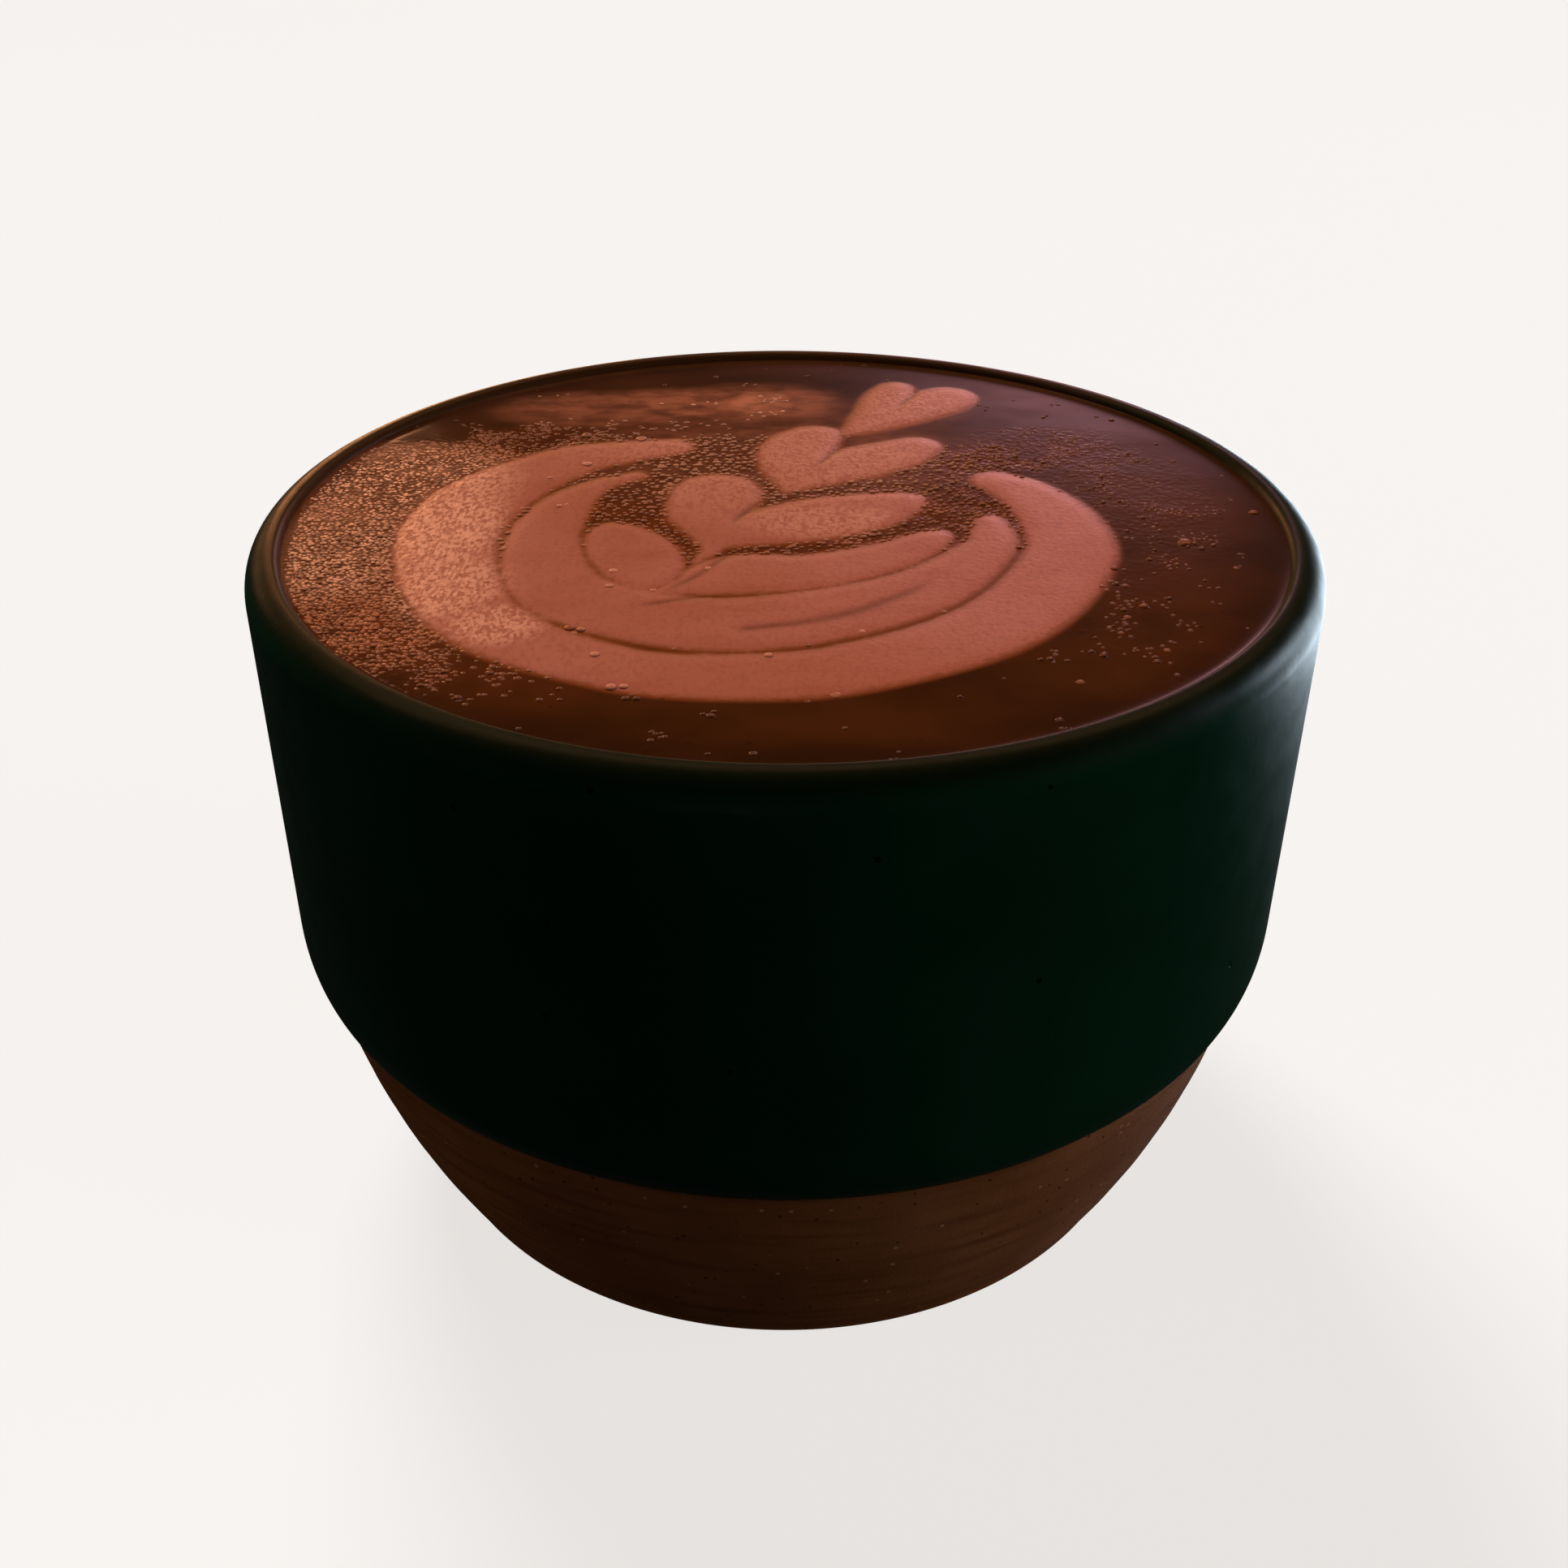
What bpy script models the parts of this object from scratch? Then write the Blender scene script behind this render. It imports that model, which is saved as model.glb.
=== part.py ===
"""A caffe mocha in its handleless stoneware cup.

Two solids stand on the same axis: the cup, turned from one profile, and the drink, which
fills it almost to the rim and carries a poured milk figure in low relief.
"""

import math

import bmesh
import bpy
from mathutils import Vector
from mathutils.geometry import interpolate_bezier

# ---------------------------------------------------------------- driving dimensions, metres
CUP_HEIGHT = 0.0616
CUP_RADIUS = 0.0450          # widest, just under the rim
RIM_ROUND_OUT = 0.0024       # rim rounding, measured outwards from its crest
RIM_ROUND_DOWN = 0.0028
LIP_ROUND_IN = 0.0010        # rim rounding, measured inwards from its crest
LIP_ROUND_DOWN = 0.0020

SHOULDER_RADIUS = 0.0447     # where the glazed wall begins to turn in
SHOULDER_HEIGHT = 0.0286
SHOULDER_PULL = 0.0036       # how far the wall's line carries on into the turn
GLAZE_END_RADIUS = 0.0431    # lower edge of the glaze, where the raw foot begins
GLAZE_END_HEIGHT = 0.0235

FOOT_RADIUS = 0.0348         # where the cup meets the table
FOOT_BOW = 0.00104           # how far the raw foot bows out from a straight cone
FOOT_EDGE_ROUND = 0.0007
FOOT_RING_WIDTH = 0.0045
RECESS_DEPTH = 0.0015

INNER_TURN_RADIUS = 0.0410   # where the inner wall begins to curve to the floor
INNER_TURN_HEIGHT = 0.0260
FLOOR_HEIGHT = 0.0062
FLOOR_PULL_RADIUS = 0.0372
FLOOR_FLAT_RADIUS = 0.0180

DRINK_LEVEL = 0.0609
DRINK_GAP = 0.0003           # clearance between the drink's solid and the cup

FOAM_ROOT = 0.0008           # how far a poured stroke reaches down into the drink
FOAM_SHOULDER = 0.55         # share of its height at which a stroke's side turns over
FOAM_ROUND = 0.0004          # width of the turned-over edge

TURN_STEPS = 80              # facets round the cup's axis
STROKE_SPACING = 0.0017      # distance between sections along a poured stroke
CAP_STEPS = 4                # sections in each round end of a stroke
CAP_ANGLE = math.radians(78)
SMOOTH_ANGLE = math.radians(32)
MM = 0.001

# The milk figure, poured from the outside in: two open rings, a pair of leaves and three
# hearts that lean towards +X. A station is x, y and half width in millimetres, and a
# stroke runs smoothly through its stations. The first number is its height in millimetres.
MILK_FIGURE = {
    "ring_outer": (0.30, [
        (-10.4, 16.9, 1.8), (-15.4, 15.4, 2.6), (-19.8, 13.2, 3.3), (-26.3, 4.6, 4.4),
        (-28.0, -6.0, 4.2), (-23.2, -19.8, 3.6), (-12.3, -27.5, 3.1), (-4.0, -28.8, 3.4),
        (4.6, -27.5, 3.6), (16.2, -20.2, 3.8), (23.1, -8.0, 3.6), (23.3, -0.2, 3.3),
        (21.0, 6.0, 2.6), (18.6, 8.7, 1.9)]),
    "ring_inner": (0.33, [
        (-13.4, 9.6, 0.8), (-16.7, 7.3, 1.3), (-19.3, 2.0, 2.5), (-20.0, -6.5, 3.2),
        (-17.0, -15.0, 3.9), (-7.5, -20.0, 4.4), (0.2, -19.5, 4.5), (10.4, -14.4, 3.6),
        (16.6, -6.2, 2.2), (17.4, -2.4, 1.6), (17.3, -0.4, 1.1)]),
    "leaf_left": (0.35, [
        (-11.6, -14.2, 0.6), (-11.3, -11.0, 2.9), (-12.5, -7.2, 3.7), (-14.0, -3.9, 2.6),
        (-14.6, -2.4, 1.4)]),
    "leaf_right": (0.36, [
        (-10.6, -15.1, 0.5), (-7.3, -13.3, 1.8), (-3.8, -11.3, 3.6), (1.0, -11.0, 3.3),
        (4.6, -9.8, 3.0), (8.6, -7.5, 2.5), (11.5, -4.9, 1.9), (12.5, -3.7, 1.3)]),
    "heart_left": (0.38, [
        (-7.2, -8.9, 0.35), (-6.1, -6.4, 0.8), (-6.3, -2.6, 2.0), (-6.9, 1.0, 3.1),
        (-6.1, 5.0, 4.0), (-6.1, 6.4, 3.6)]),
    "heart_right": (0.39, [
        (-5.8, -5.6, 0.7), (-3.8, -3.0, 2.6), (2.2, -0.2, 4.2), (6.0, 1.4, 3.9),
        (9.2, 3.2, 2.6), (10.4, 4.0, 1.7)]),
    "upper_left": (0.37, [
        (0.2, 6.3, 0.5), (0.6, 9.4, 1.9), (0.6, 13.5, 3.1), (1.2, 16.8, 3.4),
        (2.6, 19.6, 2.5), (3.1, 20.2, 1.9)]),
    "upper_right": (0.38, [
        (0.6, 6.6, 0.5), (2.8, 9.6, 2.2), (6.3, 12.7, 3.4), (9.9, 15.0, 3.1),
        (12.0, 17.0, 2.2)]),
    "top_left": (0.34, [
        (5.6, 20.2, 0.3), (7.3, 23.2, 1.3), (8.9, 27.0, 1.9), (10.1, 30.5, 2.2),
        (10.9, 33.2, 1.6)]),
    "top_right": (0.35, [
        (6.0, 20.5, 0.4), (9.3, 23.3, 1.6), (12.3, 26.6, 2.7), (15.0, 29.4, 3.1),
        (15.9, 30.5, 2.7)]),
}

# Finishes: base colour (linear), roughness, metallic
FINISHES = {
    "green_glaze": ((0.006, 0.028, 0.020), 0.28, 0.0),
    "raw_clay": ((0.090, 0.042, 0.020), 0.85, 0.0),
    "crema": ((0.070, 0.021, 0.007), 0.35, 0.0),
    "milk_foam": ((0.420, 0.160, 0.090), 0.50, 0.0),
}


# ------------------------------------------------------------------------------- the scene
def clear_scene():
    for item in list(bpy.data.objects):
        bpy.data.objects.remove(item)


def make_finish(name):
    colour, roughness, metallic = FINISHES[name]
    finish = bpy.data.materials.new(name)
    finish.use_nodes = True
    shader = finish.node_tree.nodes["Principled BSDF"]
    shader.inputs["Base Color"].default_value = (*colour, 1.0)
    shader.inputs["Roughness"].default_value = roughness
    shader.inputs["Metallic"].default_value = metallic
    finish.diffuse_color = (*colour, 1.0)
    return finish


def object_from(bm, name, collection):
    mesh = bpy.data.meshes.new(name)
    bm.to_mesh(mesh)
    bm.free()
    item = bpy.data.objects.new(name, mesh)
    collection.objects.link(item)
    return item


def shade_round(mesh):
    mesh.shade_smooth()
    mesh.set_sharp_from_angle(angle=SMOOTH_ANGLE)


# ---------------------------------------------------------------------------- profile curves
def ellipse_arc(centre, radii, start, end, count):
    """Points of an ellipse in the profile plane, as (radius, height)."""
    points = []
    for step in range(count + 1):
        angle = math.radians(start + (end - start) * step / count)
        points.append((centre[0] + radii[0] * math.cos(angle),
                       centre[1] + radii[1] * math.sin(angle)))
    return points


def quadratic(first, pull, last, count):
    """Points of a curve from first to last that leans towards pull."""
    points = []
    for step in range(count + 1):
        t = step / count
        weights = ((1 - t) ** 2, 2 * t * (1 - t), t ** 2)
        points.append(tuple(weights[0] * a + weights[1] * b + weights[2] * c
                            for a, b, c in zip(first, pull, last)))
    return points


def bowed_line(first, last, bow, count):
    """Points down from first to last, bowed outwards by a parabola."""
    across = Vector((first[1] - last[1], last[0] - first[0])).normalized()
    points = []
    for step in range(count + 1):
        t = step / count
        swell = 4 * bow * t * (1 - t)
        points.append((first[0] + (last[0] - first[0]) * t + across.x * swell,
                       first[1] + (last[1] - first[1]) * t + across.y * swell))
    return points


def inner_profile(gap, top):
    """The cup's inside from the axis up to the height top, moved in by gap."""
    floor = FLOOR_HEIGHT + gap
    turn = (INNER_TURN_RADIUS - gap, INNER_TURN_HEIGHT)
    points = [(0.0, floor)]
    points += quadratic((FLOOR_FLAT_RADIUS, floor), (FLOOR_PULL_RADIUS - gap, floor), turn, 9)
    crest_radius = CUP_RADIUS - RIM_ROUND_OUT
    lip_centre = (crest_radius - gap, CUP_HEIGHT - LIP_ROUND_DOWN)
    lip_rise = min((top - lip_centre[1]) / LIP_ROUND_DOWN, 1.0)
    lip_end = math.degrees(math.asin(lip_rise))
    points += ellipse_arc(lip_centre, (LIP_ROUND_IN, LIP_ROUND_DOWN), 180, 180 - lip_end, 4)
    return points


def outer_profile():
    """The cup's outside from just past the rim's crest down to the axis under the foot."""
    rim_centre = (CUP_RADIUS - RIM_ROUND_OUT, CUP_HEIGHT - RIM_ROUND_DOWN)
    points = ellipse_arc(rim_centre, (RIM_ROUND_OUT, RIM_ROUND_DOWN), 90, 0, 6)[1:]
    slope = (CUP_RADIUS - SHOULDER_RADIUS) / (rim_centre[1] - SHOULDER_HEIGHT)
    pull = (SHOULDER_RADIUS - SHOULDER_PULL * slope, SHOULDER_HEIGHT - SHOULDER_PULL)
    glaze_end = (GLAZE_END_RADIUS, GLAZE_END_HEIGHT)
    points += quadratic((SHOULDER_RADIUS, SHOULDER_HEIGHT), pull, glaze_end, 5)
    points += bowed_line(glaze_end, (FOOT_RADIUS, FOOT_EDGE_ROUND), FOOT_BOW, 7)[1:]
    edge_centre = (FOOT_RADIUS - FOOT_EDGE_ROUND, FOOT_EDGE_ROUND)
    points += ellipse_arc(edge_centre, (FOOT_EDGE_ROUND, FOOT_EDGE_ROUND), 0, -90, 2)[1:]
    ring_inner = FOOT_RADIUS - FOOT_RING_WIDTH
    points += [(ring_inner, 0.0), (ring_inner - RECESS_DEPTH, RECESS_DEPTH), (0.0, RECESS_DEPTH)]
    return points


def turn(profile):
    """Spin a profile of (radius, height) points about the vertical axis into a closed body."""
    bm = bmesh.new()
    rail = [bm.verts.new((radius, 0.0, height)) for radius, height in profile]
    edges = [bm.edges.new(pair) for pair in zip(rail, rail[1:])]
    bmesh.ops.spin(bm, geom=rail + edges, cent=(0, 0, 0), axis=(0, 0, 1), dvec=(0, 0, 0),
                   angle=2 * math.pi, steps=TURN_STEPS, use_merge=True)
    bmesh.ops.remove_doubles(bm, verts=bm.verts, dist=MM * 0.001)
    return bm


# ----------------------------------------------------------------------------------- the cup
def make_cup(parent):
    bm = turn(inner_profile(0.0, CUP_HEIGHT) + outer_profile())
    bmesh.ops.recalc_face_normals(bm, faces=bm.faces)
    for face in bm.faces:
        below_glaze = face.calc_center_median().z < GLAZE_END_HEIGHT
        face.material_index = 1 if below_glaze and face.normal.z < 0 else 0
    cup = object_from(bm, "cup", bpy.context.scene.collection)
    cup.data.materials.append(make_finish("green_glaze"))
    cup.data.materials.append(make_finish("raw_clay"))
    shade_round(cup.data)
    cup.parent = parent


# --------------------------------------------------------------------------------- the drink
def smooth_path(stations):
    """A curve through the stations, each a vector of place and half width."""
    knots = [Vector(station) * MM for station in stations]
    before = [knots[0]] + knots[:-1]
    after = knots[1:] + [knots[-1]]
    leads = [(b - a).normalized() for a, b in zip(before, after)]
    path = [knots[0]]
    for start, end, lead_out, lead_in in zip(knots, knots[1:], leads, leads[1:]):
        reach = (end - start).length / 3
        count = max(2, round(3 * reach / STROKE_SPACING)) + 1
        path += interpolate_bezier(start, start + lead_out * reach,
                                   end - lead_in * reach, end, count)[1:]
    return path


def stroke_stops(path):
    """Place, heading and cap angle of every section, with the two round ends added."""
    stops = []
    for index, point in enumerate(path):
        last = path[max(index - 1, 0)]
        following = path[min(index + 1, len(path) - 1)]
        stops.append((point, (following - last).xy.normalized(), 0.0))
    caps = [CAP_ANGLE * step / CAP_STEPS for step in range(1, CAP_STEPS + 1)]
    opening = [(stops[0][0], stops[0][1], -angle) for angle in reversed(caps)]
    closing = [(stops[-1][0], stops[-1][1], angle) for angle in caps]
    return opening + stops + closing


def stroke_section(bm, stop, height):
    """Six corners across a stroke: two roots, two shoulders and two upper edges."""
    point, heading, angle = stop
    side = Vector((-heading.y, heading.x))
    half_width = point.z
    upper = max(half_width - FOAM_ROUND, half_width * 0.45)
    shoulder = DRINK_LEVEL + height * FOAM_SHOULDER
    top = DRINK_LEVEL + height
    corners = []
    for reach, level, sign in (
            (half_width, DRINK_LEVEL - FOAM_ROOT, -1), (half_width, shoulder, -1),
            (upper, top, -1), (upper, top, 1),
            (half_width, shoulder, 1), (half_width, DRINK_LEVEL - FOAM_ROOT, 1)):
        along = heading * (reach * math.sin(angle))
        across = side * (sign * reach * math.cos(angle))
        place = point.xy + along + across
        corners.append(bm.verts.new((place.x, place.y, level)))
    return corners


def pour_stroke(name, height, stations, collection):
    bm = bmesh.new()
    stops = stroke_stops(smooth_path(stations))
    rings = [stroke_section(bm, stop, height * MM) for stop in stops]
    for ring, following in zip(rings, rings[1:]):
        for corner in range(len(ring)):
            beside = (corner + 1) % len(ring)
            bm.faces.new((ring[corner], ring[beside], following[beside], following[corner]))
    bm.faces.new(rings[0])
    bm.faces.new(reversed(rings[-1]))
    bmesh.ops.triangulate(bm, faces=bm.faces)
    bmesh.ops.recalc_face_normals(bm, faces=bm.faces)
    return object_from(bm, name, collection)


def join_milk(drink, milk):
    """Fuse the poured strokes with the drink in one union, then clear them away."""
    union = drink.modifiers.new("milk", "BOOLEAN")
    union.operation = "UNION"
    union.solver = "EXACT"
    union.operand_type = "COLLECTION"
    union.collection = milk
    union.material_mode = "TRANSFER"
    depsgraph = bpy.context.evaluated_depsgraph_get()
    fused = bpy.data.meshes.new_from_object(drink.evaluated_get(depsgraph))
    drink.modifiers.clear()
    drink.data = fused
    for stroke in list(milk.objects):
        bpy.data.objects.remove(stroke)
    bpy.data.collections.remove(milk)


def make_drink(parent):
    bm = turn(inner_profile(DRINK_GAP, DRINK_LEVEL))
    edge = [item for item in bm.edges if item.is_boundary]
    bmesh.ops.holes_fill(bm, edges=edge, sides=len(edge))
    bmesh.ops.recalc_face_normals(bm, faces=bm.faces)
    drink = object_from(bm, "mocha", bpy.context.scene.collection)
    drink.data.materials.append(make_finish("crema"))
    milk = bpy.data.collections.new("milk")
    bpy.context.scene.collection.children.link(milk)
    foam = make_finish("milk_foam")
    for name, (height, stations) in MILK_FIGURE.items():
        stroke = pour_stroke(name, height, stations, milk)
        stroke.data.materials.append(foam)
    join_milk(drink, milk)
    shade_round(drink.data)
    drink.parent = parent


def main():
    clear_scene()
    centre = bpy.data.objects.new("mocha_in_cup", None)
    bpy.context.scene.collection.objects.link(centre)
    make_cup(centre)
    make_drink(centre)


main()
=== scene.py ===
"""The looks of a caffe mocha in its green-glazed stoneware cup."""

import math
import random

import bpy
import numpy as np
from mathutils import Matrix, Vector, noise
from mathutils.geometry import interpolate_bezier


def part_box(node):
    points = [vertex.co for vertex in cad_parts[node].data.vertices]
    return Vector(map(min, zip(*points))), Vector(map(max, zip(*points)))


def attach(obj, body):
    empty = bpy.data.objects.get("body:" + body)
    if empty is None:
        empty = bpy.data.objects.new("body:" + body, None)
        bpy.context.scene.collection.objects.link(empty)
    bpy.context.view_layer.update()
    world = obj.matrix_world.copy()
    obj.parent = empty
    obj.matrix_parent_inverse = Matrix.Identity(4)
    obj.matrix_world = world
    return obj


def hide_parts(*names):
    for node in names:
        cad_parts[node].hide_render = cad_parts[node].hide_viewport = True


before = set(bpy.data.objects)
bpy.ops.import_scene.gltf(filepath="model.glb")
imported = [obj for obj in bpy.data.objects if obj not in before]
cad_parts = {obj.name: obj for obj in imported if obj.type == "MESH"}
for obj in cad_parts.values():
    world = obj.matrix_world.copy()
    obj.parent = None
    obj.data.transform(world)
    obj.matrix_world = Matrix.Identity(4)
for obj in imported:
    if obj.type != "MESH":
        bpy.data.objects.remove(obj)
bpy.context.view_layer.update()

MM = 0.001

# ------------------------------------------------------------------ sizes of the cup, metres
# A pair is a radius and a height, unless its comment says otherwise.
CUP_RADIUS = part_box("cup")[1].x
CUP_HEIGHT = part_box("cup")[1].z
RIM_ROUND_OUT = 2.4 * MM
RIM_ROUND_DOWN = 2.8 * MM
LIP_ROUND_IN = 1.0 * MM
LIP_ROUND_DOWN = 2.0 * MM
CREST_RADIUS = CUP_RADIUS - RIM_ROUND_OUT
SHOULDER = (44.7 * MM, 28.6 * MM)
SHOULDER_PULL = 3.6 * MM
GLAZE_END = (43.1 * MM, 23.5 * MM)
GLAZE_THICKNESS = 0.16 * MM
GLAZE_ROLL = (0.12 * MM, 0.14 * MM)  # the rounding of the coat's lower edge, across and up
GLAZE_ROLL_LIFT = 0.02 * MM
GLAZE_WAVER = 0.035 * MM         # how far the lower edge strays up and down
GLAZE_WAVER_REACH = 2 * MM
GLAZE_WAVES = ((1.0, 3, 0.4), (0.7, 7, 2.0), (0.5, 13, 1.0))  # strength, waves around, turn
COAT_DEPTH = 0.8 * MM            # how far the coat's unseen side lies inside the clay
COAT_INNER_END = 56.0 * MM       # the coat ends below the drink's surface
FOOT_RADIUS = 34.8 * MM
FOOT_BOW = 1.04 * MM
FOOT_EDGE_ROUND = 0.7 * MM
FOOT_RING_WIDTH = 4.5 * MM
RECESS_DEPTH = 1.5 * MM
RING_ROUND = 0.4 * MM            # the rounding of the foot ring's inner edge
FINE_THROW_RINGS = 1.9 * MM      # spacing of the marks that the wheel leaves on the foot
BROAD_THROW_RINGS = 4.3 * MM
THROW_MARK_DEPTH = 0.012 * MM
THROW_MARKS_FROM = (0.5 * MM, 3 * MM)  # the two heights between which the marks grow
THROW_MARKS_TO = (20 * MM, 23 * MM)    # the two heights between which they fade
INNER_TURN = (41.0 * MM, 26.0 * MM)
FLOOR_HEIGHT = 6.2 * MM
FLOOR_PULL_RADIUS = 37.2 * MM
FLOOR_FLAT_RADIUS = 18.0 * MM
WHEEL_STEPS = 256

# ---------------------------------------------------------------- sizes of the drink, metres
DRINK_LEVEL = 60.9 * MM
INTO_WALL = 0.12 * MM            # the drink reaches this far into the wall
CLING = 0.14 * MM                # how high the drink climbs the wall
CLING_WIDTH = 0.45 * MM
BELOW_LIP = 59.4 * MM            # the drink's wall is straight from its edge down to here
SURFACE_CELLS = 260
FOAM_EDGE = (-0.5, 1.5)          # depths inside a stroke between which it rises, millimetres
FOAM_RELIEF = 0.30               # the milk sinks in and keeps this share of its poured height
STROKE_SPACING = 0.3             # millimetres
CALM_EDGE = 1.5                  # millimetres from the wall, within which the surface calms down

# Unevenness of the surface: the width of its swells in millimetres and the seed of its pattern
CLUMPS = (3.0, 21.0)
LONG_SWELLS = (9.0, 3.0)
SHORT_SWELLS = (2.6, 7.0)
CREMA_LUMPS = (1.7, 11.0)
LONG_SWELL_HEIGHT = 0.010        # millimetres, as the next two
SHORT_SWELL_HEIGHT = 0.002
CREMA_LUMP_HEIGHT = 0.022
PATCH_FADE = (0.2, 1.9)          # squared distances, in radii, between which a patch fades out

# The milk figure. Each stroke has its height, then stations of x, y and half width, all in
# millimetres, and runs smoothly through them.
MILK_FIGURE = {
    "ring_outer": (0.30, [
        (-10.4, 16.9, 1.8), (-15.4, 15.4, 2.6), (-19.8, 13.2, 3.3), (-26.3, 4.6, 4.4),
        (-28.0, -6.0, 4.2), (-23.2, -19.8, 3.6), (-12.3, -27.5, 3.1), (-4.0, -28.8, 3.4),
        (4.6, -27.5, 3.6), (16.2, -20.2, 3.8), (23.1, -8.0, 3.6), (23.3, -0.2, 3.3),
        (21.0, 6.0, 2.6), (18.6, 8.7, 1.9)]),
    "ring_inner": (0.33, [
        (-13.4, 9.6, 0.8), (-16.7, 7.3, 1.3), (-19.3, 2.0, 2.5), (-20.0, -6.5, 3.2),
        (-17.0, -15.0, 3.9), (-7.5, -20.0, 4.4), (0.2, -19.5, 4.5), (10.4, -14.4, 3.6),
        (16.6, -6.2, 2.2), (17.4, -2.4, 1.6), (17.3, -0.4, 1.1)]),
    "leaf_left": (0.35, [
        (-11.6, -14.2, 0.6), (-11.3, -11.0, 2.9), (-12.5, -7.2, 3.7), (-14.0, -3.9, 2.6),
        (-14.6, -2.4, 1.4)]),
    "leaf_right": (0.36, [
        (-10.6, -15.1, 0.5), (-7.3, -13.3, 1.8), (-3.8, -11.3, 3.6), (1.0, -11.0, 3.3),
        (4.6, -9.8, 3.0), (8.6, -7.5, 2.5), (11.5, -4.9, 1.9), (12.5, -3.7, 1.3)]),
    "heart_left": (0.38, [
        (-7.2, -8.9, 0.35), (-6.1, -6.4, 0.8), (-6.3, -2.6, 2.0), (-6.9, 1.0, 3.1),
        (-6.1, 5.0, 4.0), (-6.1, 6.4, 3.6)]),
    "heart_right": (0.39, [
        (-5.8, -5.6, 0.7), (-3.8, -3.0, 2.6), (2.2, -0.2, 4.2), (6.0, 1.4, 3.9),
        (9.2, 3.2, 2.6), (10.4, 4.0, 1.7)]),
    "upper_left": (0.37, [
        (0.2, 6.3, 0.5), (0.6, 9.4, 1.9), (0.6, 13.5, 3.1), (1.2, 16.8, 3.4),
        (2.6, 19.6, 2.5), (3.1, 20.2, 1.9)]),
    "upper_right": (0.38, [
        (0.6, 6.6, 0.5), (2.8, 9.6, 2.2), (6.3, 12.7, 3.4), (9.9, 15.0, 3.1),
        (12.0, 17.0, 2.2)]),
    "top_left": (0.34, [
        (5.6, 20.2, 0.3), (7.3, 23.2, 1.3), (8.9, 27.0, 1.9), (10.1, 30.5, 2.2),
        (10.9, 33.2, 1.6)]),
    "top_right": (0.35, [
        (6.0, 20.5, 0.4), (9.3, 23.3, 1.6), (12.3, 26.6, 2.7), (15.0, 29.4, 3.1),
        (15.9, 30.5, 2.7)]),
}

# Faint folds where one pour of milk lies against another: depth, half width and the points
# that each runs through, all in millimetres
FOLDS = [
    (0.03, 0.55, [
        (-3.0, -21.2), (1.7, -20.0), (4.8, -18.6), (7.7, -16.4), (10.3, -14.1), (12.4, -11.4)]),
    (0.04, 0.36, [(-4.7, -7.5), (-7.0, -11.6), (-8.4, -13.4), (-9.8, -15.0)]),
    (0.07, 0.32, [(-2.4, 3.2), (-3.7, 1.0), (-4.5, -1.6)]),
    (0.06, 0.32, [(5.0, 17.8), (4.0, 14.8), (2.6, 11.6)]),
    (0.05, 0.32, [(12.9, 31.8), (11.8, 29.6), (10.9, 27.4)]),
    (0.05, 0.38, [(-6.6, -15.5), (-8.5, -16.2), (-11.7, -17.4)]),
]

# Where the drink froths finely: centre x, y, radii along x and y in millimetres, and strength
FROTH = [
    (-38.0, -2.0, 10.0, 17.0, 1.2),
    (-31.0, -20.0, 9.0, 9.0, 0.9),
    (-24.0, -28.0, 7.0, 5.0, 0.4),
    (-30.0, 13.0, 8.0, 5.0, 1.0),
    (-22.0, 19.0, 8.0, 4.0, 0.55),
    (-1.0, 28.0, 6.0, 4.5, 0.16),
    (30.0, 2.0, 7.0, 14.0, 0.26),
    (24.0, 15.0, 8.0, 7.0, 0.35),
    (27.0, -20.0, 7.0, 8.0, 0.25),
]

# Where larger bubbles gather, in the same order
BUBBLY = [
    (-12.0, 4.0, 7.0, 8.0, 1.0),
    (-6.0, 14.0, 8.0, 6.0, 0.9),
    (-8.5, -5.5, 3.5, 4.5, 0.9),
    (4.0, -5.0, 10.0, 3.5, 1.0),
    (5.0, 6.5, 10.0, 3.0, 0.9),
    (15.0, 1.5, 5.0, 6.0, 0.9),
    (16.0, 12.0, 8.0, 5.0, 0.7),
    (-33.0, -14.0, 9.0, 12.0, 0.8),
    (-19.0, -4.0, 6.0, 18.0, 0.7),
    (20.0, -6.0, 4.0, 8.0, 0.5),
    (-22.0, -30.0, 9.0, 5.0, 0.35),
    (29.0, -4.0, 6.0, 12.0, 0.30),
    (24.0, -22.0, 9.0, 8.0, 0.22),
    (0.0, -34.0, 26.0, 5.0, 0.10),
    (-22.0, 19.0, 10.0, 6.0, 0.3),
    (-14.0, 22.0, 8.0, 3.0, 0.26),
]

# Where a sheen is painted: milk, froth and crema are painted lighter there in place of the gleam of light
# on them, in the same order
PAINTED_SHEEN = [
    (-28.5, -2.0, 4.4, 10.0, 1.0),
    (-34.0, 8.0, 9.0, 8.0, 1.0),
    (-37.0, -6.0, 6.0, 9.0, 0.8),
    (-26.6, -13.5, 4.0, 6.0, 0.9),
    (-22.0, -20.6, 3.4, 3.2, 0.8),
    (3.0, -0.5, 6.0, 3.5, 0.4),
    (8.0, 14.0, 5.0, 3.0, 0.3),
    (12.0, 28.0, 5.0, 5.0, 0.3),
    (-2.5, 28.8, 3.4, 3.6, 0.95),
    (-2.5, 28.6, 7.5, 5.2, 0.5),
    (-9.0, 28.6, 9.0, 4.0, 0.6),
    (-17.0, 27.0, 10.0, 4.5, 0.45),
    (-1.0, 14.0, 16.0, 12.0, 0.3),
]

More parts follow.
